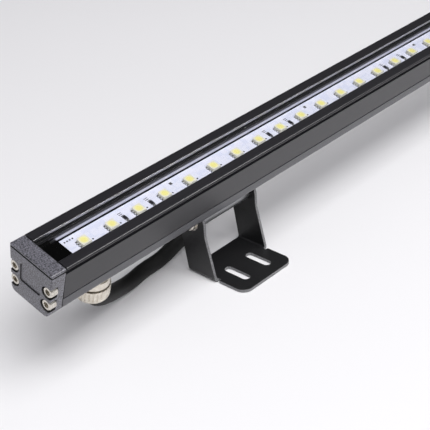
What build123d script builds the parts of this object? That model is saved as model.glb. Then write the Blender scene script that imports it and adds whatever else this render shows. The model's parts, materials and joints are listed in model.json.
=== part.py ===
from build123d import *

import math
import os

# Outdoor wall washer light: a slim aluminium bar of white LEDs under a clear cover, carried by
# two tilting sheet metal feet, with one lead that leaves through a gland under the near end.
# Millimetres and degrees. +X runs along the bar, +Z is up and the feet's front faces -Y.
# The origin lies on the floor, under the middle of the box round the light without its lead.

# LED line
unit_count = 5  # board units end to end
unit_length = 100.0
leds_per_unit = 6
end_margin = 21.75  # from the board's end to the light's end

# housing section, seen along the bar
bar_width = 27.5  # over the rims and the end caps
bar_height = 26.4
side_inset = 0.6  # the side walls stand in from the rims
side_taper = 1.2  # and lean in by so much more down to the bottom face
corner_radius = 3.0
rim_radius = 0.8
rim_thickness = 1.0
undercut_height = 3.0
undercut_depth = 1.1
groove_height = 7.4  # from the bottom face up to the fine side line
groove_width = 0.9
groove_depth = 0.5
window_width = 16.2
side_wall = 2.2
bottom_wall = 2.4
shelf_thickness = 2.0
port_wall = 1.3  # round the screw holes of the ends

# cover glass and its edge strips
lens_width = 18.4
lens_thickness = 2.0
lens_depth = 1.6  # from the rims' top down to the glass
strip_thickness = 0.4

# LED board
board_width = 14.0
board_thickness = 1.6
board_depth = 7.8  # from the rims' top down to the board's face
board_play = 0.6
thermal_pad_thickness = 0.5
led_size = 5.0
led_height = 1.6
led_corner_cut = 0.7
phosphor_radius = 2.15
phosphor_thickness = 0.6
phosphor_sink = 0.08
resistor_length = 3.2
resistor_width = 1.6
resistor_height = 0.6
resistor_led_counts = (2, 3)  # a resistor lies behind so many LEDs of each unit
link_led_counts = (4,)  # and a pair of bare link pads behind so many
link_pad_size = 1.6
link_pad_thickness = 0.12
link_pad_spacing = 8.4

# end caps
cap_thickness = 7.6
cap_edge_radius = 0.6
cap_groove_height = 0.9  # of the fine groove under the top, round the front and the sides
cap_groove_depth = 0.5
cap_gasket_thickness = 0.6
cap_gasket_inset = 0.1
cap_panel_width = 13.0
cap_panel_height = 10.4
cap_panel_centre = 14.8
cap_panel_depth = 0.5
cap_panel_corner = 1.2
cap_plug_length = 3.0
cap_plug_play = 0.4
cap_screw_inset = 2.3  # from the side of the cap, at the screw's height, to the screw's axis
cap_screw_heights = (6.9, 14.8)
cap_screw_radius = 1.25
cap_screw_length = 16.0
cap_screw_head_radius = 2.75
cap_screw_head_height = 3.0
cap_screw_key = 2.8  # across the flats of the key hole
cap_notch_radius = 3.2
cap_notch_depth = 4.0
cap_washer_radius = 2.75
cap_washer_thickness = 0.5
cap_washer_split = 0.6
head_chamfer = 0.3
screw_play = 0.05
cut_over = 1.0  # how far a cut runs on past the face that it opens

# end blocks
block_high_length = 7.5  # of the part that rises to the cover
block_play = 0.1

# feet
bracket_inset = 123.2  # from the light's end to a foot's centre
bracket_width = 39.6
toe_inset = 1.2  # of each side of the front plate from the legs' outer faces
sheet_thickness = 1.5
bend_radius = 0.9  # inside
foot_front = 32.0  # from the pivot forward to the foot's front edge
foot_length = 36.7
foot_corner = 5.5
slot_spacing = 16.0
slot_length = 15.8
slot_width = 4.5
slot_front = 17.6  # from the pivot forward to the slots' centre
relief_width = 1.4
relief_depth = 2.6
leg_base_width = 18.2
leg_head_radius = 8.0
leg_front_drop = 6.5  # from the pivot down to the front bend of a leg's outline
leg_back_drop = 9.0
leg_kink_radius = 9.0
leg_corner_radius = 2.2
pivot_height = 31.0  # above the floor
pivot_drop = 11.0  # from the bar's underside down to the pivot
tilt = 15.1

# hinge blocks under the bar
lug_play = 0.1
lug_knuckle_radius = 4.6
lug_web_thickness = 6.4
lug_base_width = 17.6
lug_base_thickness = 2.2
lug_screw_spacing_x = 22.0
lug_screw_spacing_y = 12.0
lug_screw_radius = 1.25
lug_screw_head_radius = 2.3
lug_screw_head_height = 1.2
lug_screw_length = 5.2
lug_screw_key = 1.6

# pivot screws
pivot_screw_radius = 2.0
pivot_screw_reach = 9.0  # into the hinge block
pivot_head_radius = 3.8
pivot_head_height = 2.6
pivot_key = 2.5
pivot_washer_radius = 4.6
pivot_washer_thickness = 0.8
pivot_hole_play = 0.15
pivot_play = 0.05

# cable gland
gland_inset = 37.4  # from the light's end to the gland's axis
gland_gasket_thickness = 0.8
gland_gasket_inset = 0.3
gland_collar_radius = 8.2
gland_collar_height = 8.0
gland_collar_flats = 15.4
gland_flat_height = 4.0
gland_stem_radius = 6.0
gland_bore_radius = 3.3
gland_neck_radius = 6.4
gland_neck_length = 5.3
gland_cup_wall = 0.8
gland_nut_radius = 8.65
gland_nut_height = 8.4
gland_nut_edge = 3.2
gland_nut_gap = 0.9
gland_nut_floor = 0.4  # free height under the neck
gland_flutes = 28
gland_flute_radius = 0.3
gland_seal_height = 4.8
gland_seal_hole = 2.5
lock_nut_flats = 15.0
lock_nut_thickness = 2.0
gland_play = 0.1

# lead and its conductors
lead_diameter = 8.0
lead_play = 0.5
core_radius = 0.8
core_spacing = 2.4
core_play = 0.2

# plug on the lead's end
plug_radius = 6.6
plug_body_length = 22.0
plug_edge_radius = 1.2
plug_flutes = 14
plug_flute_radius = 0.7
plug_flute_margin = 4.0
plug_nose_radius = 5.2
plug_nose_length = 11.0
plug_ring_place = 4.0
plug_ring_width = 1.8
plug_ring_sink = 0.8
plug_ring_rise = 0.3
plug_relief_length = 24.0
plug_relief_radius = 5.6
plug_relief_tip = 4.5
plug_relief_slots = 5
plug_relief_slot_width = 1.6
plug_relief_slot_depth = 0.6
plug_pin_radius = 1.0
plug_pin_spacing = 4.6
plug_pin_length = 8.0
plug_pin_tip = 0.4

# sizes that follow
led_count = unit_count * leds_per_unit
led_pitch = unit_length / leds_per_unit
board_length = unit_count * unit_length
bar_length = board_length + 2 * end_margin
bar_end = bar_length / 2
body_width = bar_width - 2 * side_inset
bottom_width = body_width - 2 * side_taper
housing_length = bar_length - 2 * (cap_thickness + cap_gasket_thickness)
rim_bottom = bar_height - rim_thickness
lens_top = bar_height - lens_depth
lens_bottom = lens_top - lens_thickness
board_face = bar_height - board_depth
board_back = board_face - board_thickness
shelf_top = board_back - thermal_pad_thickness
channel_width = board_width + 2 * board_play
chamber_width = body_width - 2 * side_wall
chamber_top = shelf_top - shelf_thickness
groove_side = body_width / 2 - side_taper * (1 - groove_height / rim_bottom)
cap_narrowing = (bar_width - bottom_width) / 2 / bar_height  # per unit of height
cap_screw_sides = [bar_width / 2 - cap_screw_inset - cap_narrowing * (bar_height - up)
                   for up in cap_screw_heights]
port_side = min(cap_screw_sides) - cap_screw_radius - port_wall
bracket_places = (bracket_inset - bar_end, bar_end - bracket_inset)
leg_outside = bracket_width / 2
leg_inside = leg_outside - sheet_thickness
foot_back = foot_length - foot_front
leg_front = foot_back - leg_base_width
lug_length = 2 * (leg_inside - lug_play)
gland_x = gland_inset - bar_end
collar_bottom = -gland_gasket_thickness - gland_collar_height
neck_bottom = collar_bottom - gland_neck_length
nut_top = collar_bottom - gland_nut_gap
nut_bottom = nut_top - gland_nut_height
cup_radius = gland_neck_radius - gland_cup_wall
stem_top = bottom_wall + lock_nut_thickness
lead_radius = lead_diameter / 2
core_places = (gland_x - core_spacing / 2, gland_x + core_spacing / 2)

# the box round the light reaches from the feet's front edge to the gland nut's rounded edge or
# the caps' lower back corner
tilt_cos = math.cos(math.radians(tilt))
tilt_sin = math.sin(math.radians(tilt))
cap_lean = math.atan(cap_narrowing)
corner_out = bottom_width / 2 - corner_radius * (1 - math.sin(cap_lean)) / math.cos(cap_lean)
corner_up = pivot_drop + corner_radius
corner_back = corner_out * tilt_cos - corner_up * tilt_sin + corner_radius
nut_out = gland_nut_radius - gland_nut_edge
nut_up = pivot_drop + nut_bottom + gland_nut_edge
nut_back = nut_out * tilt_cos - nut_up * tilt_sin + gland_nut_edge
pivot_y = (foot_front - max(corner_back, nut_back)) / 2

lead_lift = 0.4  # of the lead where it starts to rise to the plug's middle

# the lead's free route below the gland, down to the floor and on behind the bar to its plug
lead_route = [
    (-232.3, 14.0, 20.2),
    (-227.4, 15.4, 16.9),
    (-219.9, 18.7, 13.0),
    (-210.4, 23.6, 8.4),
    (-199.4, 27.1, 5.0),
    (-186.5, 30.7, lead_radius),
    (-173.5, 30.7, lead_radius),
    (-160.0, 34.6, lead_radius),
    (-145.0, 37.7, lead_radius),
    (-129.0, 44.4, lead_radius),
    (-110.0, 49.9, lead_radius),
    (-84.0, 53.0, lead_radius),
    (-46.0, 51.4, lead_radius),
    (0.0, 54.6, lead_radius),
    (46.0, 52.0, lead_radius),
    (84.0, 53.8, lead_radius),
    (112.0, 52.4, lead_radius),
    (132.0, 52.8, lead_radius + lead_lift),
    (150.0, 52.4, plug_radius),
    (164.0, 52.4, plug_radius),
]
bend_share = 0.45  # of the shorter run beside a corner, taken up by its bend
lead_split = 7  # the lead follows the tilt up to the middle of the run, along X, after this corner


def on_bar(shape):
    """Places a shape that is drawn from the middle of the bar's underside."""
    return Pos(0, pivot_y, pivot_height) * Rot(tilt, 0, 0) * Pos(0, 0, pivot_drop) * shape


def on_foot(shape, place):
    """Places a shape that is drawn from a foot's pivot."""
    return Pos(place, pivot_y, pivot_height) * shape


def along_x(section, length, start):
    """Extrudes a section along X: its own X lies across the bar and its Y points up."""
    plane = Plane(origin=(start, 0, 0), x_dir=(0, 1, 0), z_dir=(1, 0, 0))
    return extrude(plane * section, length)


def centred_along_x(section, length):
    """Extrudes a section along X, as far to one side as to the other."""
    return along_x(section, length, -length / 2)


def x_rod(radius, start, end, across=0.0, up=0.0):
    """A round rod along X."""
    return along_x(Pos(across, up) * Circle(radius), end - start, start)


def z_rod(radius, bottom, top, x=0.0, y=0.0):
    """A round rod along Z."""
    return extrude(Plane(origin=(x, y, bottom)) * Circle(radius), top - bottom)


def slab(x0, x1, y0, y1, z0, z1):
    """A box between its low and high sides."""
    centre = Pos((x0 + x1) / 2, (y0 + y1) / 2, (z0 + z1) / 2)
    return centre * Box(x1 - x0, y1 - y0, z1 - z0)


def band(width, bottom, top):
    """A rectangle of a section, centred across, between two heights."""
    return Pos(0, (bottom + top) / 2) * Rectangle(width, top - bottom)


def tapered_band(bottom_width, top_width, bottom, top):
    """A four-sided piece of a section, centred across, between two heights."""
    low, high = bottom_width / 2, top_width / 2
    return Polygon((-low, bottom), (low, bottom), (high, top), (-high, top), align=None)


def key_hole(flats, depth, start, across=0.0, up=0.0):
    """A six-sided key hole along X."""
    hexagon = RegularPolygon(flats / 2, 6, major_radius=False)
    return along_x(Pos(across, up) * hexagon, depth, start)


def at_end(shape, end):
    """Keeps a shape drawn for the near end, or mirrors it to the far end."""
    return shape if end < 0 else mirror(shape, Plane.YZ)


def cap_screw_spots():
    """The four screw axes of an end, across and up."""
    spots = list(zip(cap_screw_sides, cap_screw_heights))
    return [(side * across, up) for side in (-1, 1) for across, up in spots]


def lug_screw_spots():
    """The four screw axes of a hinge block, from its middle."""
    half_x, half_y = lug_screw_spacing_x / 2, lug_screw_spacing_y / 2
    return [(x, y) for x in (-half_x, half_x) for y in (-half_y, half_y)]


def led_places():
    """The LEDs' centres along the bar."""
    first = (led_pitch - board_length) / 2
    return [first + i * led_pitch for i in range(led_count)]


def gap_places(led_counts):
    """The middles of the gaps that follow so many LEDs of every unit."""
    leds = led_places()
    starts = range(0, led_count, leds_per_unit)
    return [leds[start + count - 1] + led_pitch / 2 for start in starts for count in led_counts]


def housing_section():
    """The extruded section: rims, undercuts, side lines, window, shelf, chamber and ports."""
    section = tapered_band(bottom_width, body_width, 0, rim_bottom)
    section += band(bar_width, rim_bottom, bar_height)
    low = [v for v in section.vertices() if v.Y < corner_radius]
    section = fillet(low, corner_radius)
    high = [v for v in section.vertices() if v.Y > bar_height - rim_radius]
    section = fillet(high, rim_radius)
    section -= band(window_width, lens_top, bar_height + rim_radius)
    section -= band(lens_width + 2 * strip_thickness, lens_bottom - strip_thickness,
                    lens_top + strip_thickness)
    section -= band(channel_width, shelf_top, lens_top)
    section -= band(chamber_width, bottom_wall, chamber_top)
    inside = band(chamber_width + side_wall, bottom_wall / 2, shelf_top)
    for across, up in cap_screw_spots():
        section += inside & (Pos(across, up) * Circle(cap_screw_radius + port_wall))
    for across, up in cap_screw_spots():
        section -= Pos(across, up) * Circle(cap_screw_radius + screw_play)
    undercut = Rectangle(2 * undercut_depth, undercut_height)
    groove = Rectangle(2 * groove_depth, groove_width)
    for side in (-1, 1):
        section -= Pos(side * body_width / 2, rim_bottom - undercut_height / 2) * undercut
        section -= Pos(side * groove_side, groove_height) * groove
    return section


def housing_extrusion():
    """The bar's body, drilled for the gland, the conductors and the hinge blocks' screws."""
    body = centred_along_x(housing_section(), housing_length)
    body -= z_rod(gland_stem_radius + gland_play, -cut_over, bottom_wall + cut_over, gland_x)
    for x in core_places:
        body -= z_rod(core_radius + core_play, chamber_top - cut_over, shelf_top + cut_over, x)
    for place in bracket_places:
        for x, y in lug_screw_spots():
            body -= z_rod(lug_screw_radius + screw_play, -cut_over, bottom_wall + cut_over,
                          place + x, y)
    return body


def lens_cover():
    """The clear strip over the LEDs."""
    return centred_along_x(band(lens_width, lens_bottom, lens_top), housing_length)


def lens_edge_strips():
    """Soft channels round the two long edges of the clear strip."""
    outer = band(lens_width + 2 * strip_thickness, lens_bottom - strip_thickness,
                 lens_top + strip_thickness)
    inner = band(lens_width, lens_bottom, lens_top)
    return centred_along_x(outer - inner - band(window_width, 0, bar_height), housing_length)


def led_board():
    """The white board, as one strip."""
    return centred_along_x(band(board_width, board_back, board_face), board_length)


def thermal_pad():
    """The soft sheet under the board, with holes for the conductors."""
    pad = centred_along_x(band(board_width, shelf_top, board_back), board_length)
    for x in core_places:
        pad -= z_rod(core_radius + core_play, shelf_top - cut_over, board_back + cut_over, x)
    return pad


def led_package():
    """One LED body with its round cup and one cut corner."""
    outline = Rectangle(led_size, led_size)
    marked = outline.vertices().sort_by(Axis.X)[:2].sort_by(Axis.Y)[-1]
    body = extrude(chamfer(marked, led_corner_cut), led_height)
    cup_floor = led_height - phosphor_sink - phosphor_thickness
    return body - z_rod(phosphor_radius, cup_floor, led_height + cut_over)


def led_packages():
    """All LED bodies."""
    package = led_package()
    return [Pos(x, 0, board_face) * package for x in led_places()]


def led_phosphors():
    """The yellow fill of every LED cup."""
    top = board_face + led_height - phosphor_sink
    return [z_rod(phosphor_radius, top - phosphor_thickness, top, x) for x in led_places()]


def board_resistors():
    """The resistors, which lie across the board."""
    body = Box(resistor_width, resistor_length, resistor_height)
    height = board_face + resistor_height / 2
    return [Pos(x, 0, height) * body for x in gap_places(resistor_led_counts)]


def board_link_pads():
    """Pairs of bare pads where the board may be cut and joined."""
    pad = Box(link_pad_size, link_pad_size, link_pad_thickness)
    height = board_face + link_pad_thickness / 2
    rows = (-link_pad_spacing / 2, link_pad_spacing / 2)
    return [Pos(x, y, height) * pad for x in gap_places(link_led_counts) for y in rows]


def end_block(end):
    """The soft block that closes the LED channel: high beside a cap and low beside the board."""
    start = -housing_length / 2
    width = channel_width - 2 * block_play
    high = band(width, shelf_top, lens_bottom - block_play)
    low = band(width, shelf_top, board_face)
    block = along_x(high, block_high_length, start)
    block += along_x(low, -board_length / 2 - block_play - start, start)
    return at_end(block, end)


def cap_outline(inset):
    """An end's outline, with round lower corners and slightly round upper ones."""
    widths = (bottom_width - 2 * inset, bar_width - 2 * inset)
    outline = tapered_band(*widths, inset, bar_height - inset)
    low = [v for v in outline.vertices() if v.Y < bar_height / 2]
    outline = fillet(low, corner_radius - inset)
    high = [v for v in outline.vertices() if v.Y > bar_height - inset - rim_radius]
    return fillet(high, rim_radius)


def cap_plug_section(play):
    """The part of a cap that fits between the screw ports of the chamber."""
    return band(2 * (port_side - play), bottom_wall + play, chamber_top - play)


def cap_groove():
    """The fine groove under a cap's top, which carries on the housing's undercut."""
    bottom = rim_bottom - cap_groove_height
    back = cap_thickness - bar_end
    core_side = bar_width / 2 - cap_groove_depth
    ring = slab(-bar_end - cut_over, back, -bar_width, bar_width, bottom, rim_bottom)
    return ring - slab(cap_groove_depth - bar_end, back, -core_side, core_side, bottom, rim_bottom)


def end_cap(end):
    """A cast cap: a bare recessed panel, four notches open to the sides, and a plug inside."""
    cap = along_x(cap_outline(0), cap_thickness, -bar_end)
    cap = fillet(cap.faces().sort_by(Axis.X)[0].edges(), cap_edge_radius)
    panel = RectangleRounded(cap_panel_width, cap_panel_height, cap_panel_corner)
    outside = -bar_end - cut_over
    cap -= along_x(Pos(0, cap_panel_centre) * panel, cap_panel_depth + cut_over, outside)
    cap -= cap_groove()
    for across, up in cap_screw_spots():
        outward = math.copysign(bar_width / 2, across)
        notch = Pos(across, up) * Circle(cap_notch_radius)
        notch += Pos(across + outward, up) * Rectangle(bar_width, 2 * cap_notch_radius)
        cap -= along_x(notch, cap_notch_depth + cut_over, outside)
        cap -= x_rod(cap_screw_radius + screw_play, -bar_end, cap_thickness - bar_end, across, up)
    plug_length = cap_gasket_thickness + cap_plug_length
    cap += along_x(cap_plug_section(cap_plug_play), plug_length, cap_thickness - bar_end)
    return at_end(cap, end)


def cap_gasket(end):
    """The flat seal between a cap and the housing."""
    sheet = cap_outline(side_inset + cap_gasket_inset) - cap_plug_section(0)
    for across, up in cap_screw_spots():
        sheet -= Pos(across, up) * Circle(cap_screw_radius + screw_play)
    return at_end(along_x(sheet, cap_gasket_thickness, cap_thickness - bar_end), end)


def cap_screws(end):
    """The four socket screws of an end."""
    seat = cap_notch_depth - cap_washer_thickness - bar_end
    top = seat - cap_screw_head_height
    screws = []
    for across, up in cap_screw_spots():
        head = x_rod(cap_screw_head_radius, top, seat, across, up)
        head = chamfer(head.faces().sort_by(Axis.X)[0].edges(), head_chamfer)
        screw = head + x_rod(cap_screw_radius, seat, seat + cap_screw_length, across, up)
        screw -= key_hole(cap_screw_key, cap_screw_head_height / 2, top, across, up)
        screws.append(at_end(screw, end))
    return screws


def cap_washers(end):
    """The split spring washers under the heads of an end's screws."""
    ring = Circle(cap_washer_radius) - Circle(cap_screw_radius + screw_play)
    ring -= Pos(0, cap_washer_radius) * Rectangle(cap_washer_split, 2 * cap_washer_radius)
    start = cap_notch_depth - cap_washer_thickness - bar_end
    return [at_end(along_x(Pos(across, up) * ring, cap_washer_thickness, start), end)
            for across, up in cap_screw_spots()]


def leg_outline():
    """A leg from the side: it leans back from the foot, bends, and ends in a round head."""
    head, floor = leg_head_radius, -pivot_height
    with BuildSketch() as outline:
        with BuildLine():
            Polyline((-head, 0), (-head, -leg_front_drop), (leg_front, floor),
                     (foot_back, floor), (head, -leg_back_drop), (head, 0))
            ThreePointArc((head, 0), (0, head), (-head, 0))
        make_face()
        kinks = outline.vertices().sort_by(Axis.Y)[2:4]
        fillet(kinks, leg_kink_radius)
        heel = outline.vertices().sort_by(Axis.Y)[:2].sort_by(Axis.X)[-1]
        fillet(heel, leg_corner_radius)
    return outline.sketch


def bracket():
    """A foot: a slotted plate with two legs bent up from its sides."""
    floor, plate_top = -pivot_height, sheet_thickness - pivot_height
    bend_outside = bend_radius + sheet_thickness
    head_top = leg_head_radius + cut_over
    outside = band(bracket_width, floor, head_top)
    outside = fillet([v for v in outside.vertices() if v.Y < 0], bend_outside)
    inside = band(2 * leg_inside, plate_top, head_top)
    inside = fillet([v for v in inside.vertices() if v.Y < 0], bend_radius)
    across_bar = Plane(origin=(0, foot_front, 0), x_dir=(1, 0, 0), z_dir=(0, -1, 0))
    channel = extrude(across_bar * (outside - inside), 2 * foot_front)
    legs = channel & centred_along_x(leg_outline(), bracket_width)
    flat = leg_outside - bend_outside
    legs -= slab(-flat, flat, -foot_front, foot_front, floor, plate_top)
    sole = slab(-flat, flat, leg_front, foot_back, floor, plate_top)
    toe_side = leg_outside - toe_inset
    toe = slab(-toe_side, toe_side, -foot_front, leg_front, floor, plate_top)
    toe = fillet(toe.edges().filter_by(Axis.Z).sort_by(Axis.Y)[:2], foot_corner)
    shape = toe + sole + legs
    slot_outline = Pos(0, 0, floor - cut_over) * Rot(0, 0, 90) * SlotOverall(slot_length, slot_width)
    slot = extrude(slot_outline, sheet_thickness + 2 * cut_over)
    for side in (-1, 1):
        shape -= Pos(side * slot_spacing / 2, -slot_front, 0) * slot
        shape -= Pos(side * leg_outside, leg_front - relief_width / 2, floor) * Box(
            2 * relief_depth, relief_width, 4 * sheet_thickness)
    shape -= x_rod(pivot_screw_radius + pivot_hole_play, -bracket_width, bracket_width)
    return shape


def hinge_block():
    """The block under the bar that a foot's legs grip, drawn from the bar's underside."""
    section = band(lug_base_width, -lug_base_thickness, 0)
    section += band(lug_web_thickness, -pivot_drop, -lug_base_thickness / 2)
    section += Pos(0, -pivot_drop) * Circle(lug_knuckle_radius)
    section -= Pos(0, -pivot_drop) * Circle(pivot_screw_radius + pivot_play)
    block = centred_along_x(section, lug_length)
    for x, y in lug_screw_spots():
        block -= z_rod(lug_screw_radius + screw_play, -pivot_drop, cut_over, x, y)
    return block


def hinge_block_screws(place):
    """The screws that hold a hinge block, with their heads below its base."""
    screws = []
    for x, y in lug_screw_spots():
        bottom = -lug_base_thickness - lug_screw_head_height
        head = z_rod(lug_screw_head_radius, bottom, -lug_base_thickness)
        head = chamfer(head.faces().sort_by(Axis.Z)[0].edges(), head_chamfer)
        screw = head + z_rod(lug_screw_radius, -lug_base_thickness,
                             lug_screw_length - lug_base_thickness)
        key = RegularPolygon(lug_screw_key / 2, 6, major_radius=False)
        screw -= extrude(Plane(origin=(0, 0, bottom)) * key, lug_screw_head_height / 2)
        screws.append(Pos(place + x, y, 0) * screw)
    return screws


def pivot_screws():
    """The two screws of a foot, from its pivot, with their heads outside its legs."""
    seat = -leg_outside - pivot_washer_thickness
    top = seat - pivot_head_height
    head = x_rod(pivot_head_radius, top, seat)
    head = fillet(head.faces().sort_by(Axis.X)[0].edges(), pivot_head_height / 2)
    screw = head + x_rod(pivot_screw_radius, seat, pivot_screw_reach - leg_inside)
    screw -= key_hole(pivot_key, pivot_head_height / 2, top)
    return [at_end(screw, end) for end in (-1, 1)]


def pivot_washers():
    """The washers under the heads of a foot's screws."""
    ring = Circle(pivot_washer_radius) - Circle(pivot_screw_radius + pivot_hole_play)
    washer = along_x(ring, pivot_washer_thickness, -leg_outside - pivot_washer_thickness)
    return [at_end(washer, end) for end in (-1, 1)]


def at_gland(shape):
    """Moves a shape drawn on the Z axis to the gland's axis."""
    return Pos(gland_x, 0, 0) * shape


def gland_gasket():
    """The flat ring between the gland's collar and the bar's underside."""
    ring = z_rod(gland_collar_radius - gland_gasket_inset, -gland_gasket_thickness, 0)
    hole = z_rod(gland_stem_radius + gland_play, -gland_collar_height, cut_over)
    return at_gland(ring - hole)


def gland_body():
    """The metal body: a collar with two flats, a stem into the bar and a neck for the nut."""
    collar = z_rod(gland_collar_radius, collar_bottom, -gland_gasket_thickness)
    middle = collar_bottom + gland_collar_height - gland_flat_height / 2
    for side in (-1, 1):
        away = side * (gland_collar_flats + bar_width) / 2
        collar -= Pos(0, away, middle) * Box(bar_width, bar_width, gland_flat_height)
    body = collar + z_rod(gland_stem_radius, -gland_gasket_thickness, stem_top)
    body += z_rod(gland_neck_radius, neck_bottom, collar_bottom)
    body -= z_rod(gland_bore_radius, neck_bottom, stem_top)
    body -= z_rod(cup_radius, neck_bottom, neck_bottom + gland_seal_height)
    return at_gland(body)


def gland_seal():
    """The rubber plug that grips the lead's end."""
    seal = z_rod(cup_radius - gland_play, neck_bottom, neck_bottom + gland_seal_height)
    return at_gland(seal - z_rod(gland_seal_hole, neck_bottom, 0))


def gland_nut():
    """The fluted nut with a rounded lower edge and the lead's opening."""
    nut = z_rod(gland_nut_radius, nut_bottom, nut_top)
    nut = fillet(nut.faces().sort_by(Axis.Z)[0].edges(), gland_nut_edge)
    nut -= z_rod(gland_neck_radius + gland_play, neck_bottom - gland_nut_floor, 0)
    nut -= z_rod(lead_radius + lead_play, nut_bottom, 0)
    flute = z_rod(gland_flute_radius, nut_bottom + gland_nut_edge, 0, gland_nut_radius)
    for i in range(gland_flutes):
        nut -= Rot(0, 0, i * 360 / gland_flutes) * flute
    return at_gland(nut)


def gland_lock_nut():
    """The nut that clamps the gland from inside the housing."""
    hexagon = RegularPolygon(lock_nut_flats / 2, 6, major_radius=False, rotation=30)
    nut = extrude(Plane(origin=(0, 0, bottom_wall)) * hexagon, lock_nut_thickness)
    return at_gland(nut - z_rod(gland_stem_radius + screw_play, 0, stem_top))


def lead_cores():
    """The two conductors from the lead's end up to the back of the board."""
    return [z_rod(core_radius, neck_bottom, board_back, x) for x in core_places]


def bar_point(x, up):
    """A point of the bar's middle plane, up from its underside, in the light's frame."""
    rise = pivot_drop + up
    return (x, pivot_y - rise * tilt_sin, pivot_height + rise * tilt_cos)


def bend_radii(points):
    """The largest bend that each corner's two runs leave room for, printed with its turn."""
    corners = [Vector(*point) for point in points]
    radii = []
    for before, corner, after in zip(corners, corners[1:], corners[2:]):
        run_in, run_out = corner - before, after - corner
        turn = run_in.get_angle(run_out)
        shorter = min(run_in.length, run_out.length)
        radii.append(bend_share * shorter / math.tan(math.radians(turn) / 2))
        print(f"bend at {corner.X:.0f} {corner.Y:.0f} {corner.Z:.0f}: {turn:.1f} degrees, "
              f"radius {radii[-1]:.1f}, run {shorter:.1f}")
    return radii


def lead_stretch(points, radii):
    """One stretch of the lead: a round tube along straight runs joined by tangent bends."""
    path = FilletPolyline(*points, radius=radii)
    tube = sweep(Plane(origin=path @ 0, z_dir=path % 0) * Circle(lead_radius), path=path)
    section = math.pi * lead_radius**2
    print(f"lead stretch {path.length:.1f} long, volume over section times length "
          f"{tube.volume / (section * path.length):.4f}")
    return tube


def power_lead():
    """The lead in two stretches: one follows the tilt, the other lies on the floor."""
    route = [bar_point(gland_x, neck_bottom), bar_point(gland_x, nut_bottom)]
    route += lead_route
    radii = bend_radii(route)
    before, after = route[lead_split], route[lead_split + 1]
    joint = tuple((a + b) / 2 for a, b in zip(before, after))
    upper = lead_stretch(route[: lead_split + 1] + [joint], radii[:lead_split])
    lower = lead_stretch([joint] + route[lead_split + 1 :], radii[lead_split:])
    return upper, lower


def at_plug(shape):
    """Moves a shape drawn along X from the lead's end to that end."""
    return Pos(*lead_route[-1]) * shape


def plug_relief():
    """The tapered sleeve behind the plug, with rings cut into it."""
    start = Plane(origin=(0, 0, 0), x_dir=(0, 1, 0), z_dir=(1, 0, 0))
    sleeve = loft([start * Circle(plug_relief_tip),
                   start.offset(plug_relief_length) * Circle(plug_relief_radius)])
    pitch = plug_relief_length / (plug_relief_slots + 1)
    for i in range(plug_relief_slots):
        middle = (i + 1) * pitch
        radius = plug_relief_tip + (plug_relief_radius - plug_relief_tip) * (i + 1) * pitch \
            / plug_relief_length
        cut = Circle(2 * plug_relief_radius) - Circle(radius - plug_relief_slot_depth)
        sleeve -= along_x(cut, plug_relief_slot_width, middle - plug_relief_slot_width / 2)
    return at_plug(sleeve)


def plug_body():
    """The grip with its flutes, and the nose that carries the ring and the pins."""
    start, end = plug_relief_length, plug_relief_length + plug_body_length
    grip = x_rod(plug_radius, start, end)
    grip = fillet(grip.edges().filter_by(GeomType.CIRCLE), plug_edge_radius)
    flute = x_rod(plug_flute_radius, start + plug_flute_margin, end - plug_flute_margin,
                  0, plug_radius)
    for i in range(plug_flutes):
        grip -= Rot((i + 0.5) * 360 / plug_flutes, 0, 0) * flute
    body = grip + x_rod(plug_nose_radius, end, end + plug_nose_length)
    groove = Circle(plug_radius) - Circle(plug_nose_radius - plug_ring_sink)
    body -= along_x(groove, plug_ring_width, end + plug_ring_place)
    return at_plug(body)


def plug_ring():
    """The rubber ring round the nose."""
    start = plug_relief_length + plug_body_length + plug_ring_place
    ring = Circle(plug_nose_radius + plug_ring_rise) - Circle(plug_nose_radius - plug_ring_sink)
    return at_plug(along_x(ring, plug_ring_width, start))


def plug_pins():
    """The two contact pins in front of the nose."""
    face = plug_relief_length + plug_body_length + plug_nose_length
    pins = []
    for side in (-plug_pin_spacing / 2, plug_pin_spacing / 2):
        pin = x_rod(plug_pin_radius, face, face + plug_pin_length, side)
        pins.append(at_plug(chamfer(pin.faces().sort_by(Axis.X)[-1].edges(), plug_pin_tip)))
    return pins


def write(name, *shapes):
    """Writes one sub-part, which may be a group of separate solids."""
    solids = [solid for shape in shapes for solid in shape.solids()]
    export_step(Compound(solids), f"parts/{name}.step")


def write_bar():
    """Everything that tilts, between its two ends."""
    write("housing_extrusion", on_bar(housing_extrusion()))
    write("lens_cover", on_bar(lens_cover()))
    write("lens_edge_strips", on_bar(lens_edge_strips()))
    write("led_board", on_bar(led_board()))
    write("thermal_pad", on_bar(thermal_pad()))
    write("led_packages", *[on_bar(led) for led in led_packages()])
    write("led_phosphors", *[on_bar(fill) for fill in led_phosphors()])
    write("board_resistors", *[on_bar(part) for part in board_resistors()])
    write("board_link_pads", *[on_bar(pad) for pad in board_link_pads()])
    write("gland_gasket", on_bar(gland_gasket()))
    write("gland_body", on_bar(gland_body()))
    write("gland_seal", on_bar(gland_seal()))
    write("gland_nut", on_bar(gland_nut()))
    write("gland_lock_nut", on_bar(gland_lock_nut()))
    write("lead_cores", *[on_bar(core) for core in lead_cores()])


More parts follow.
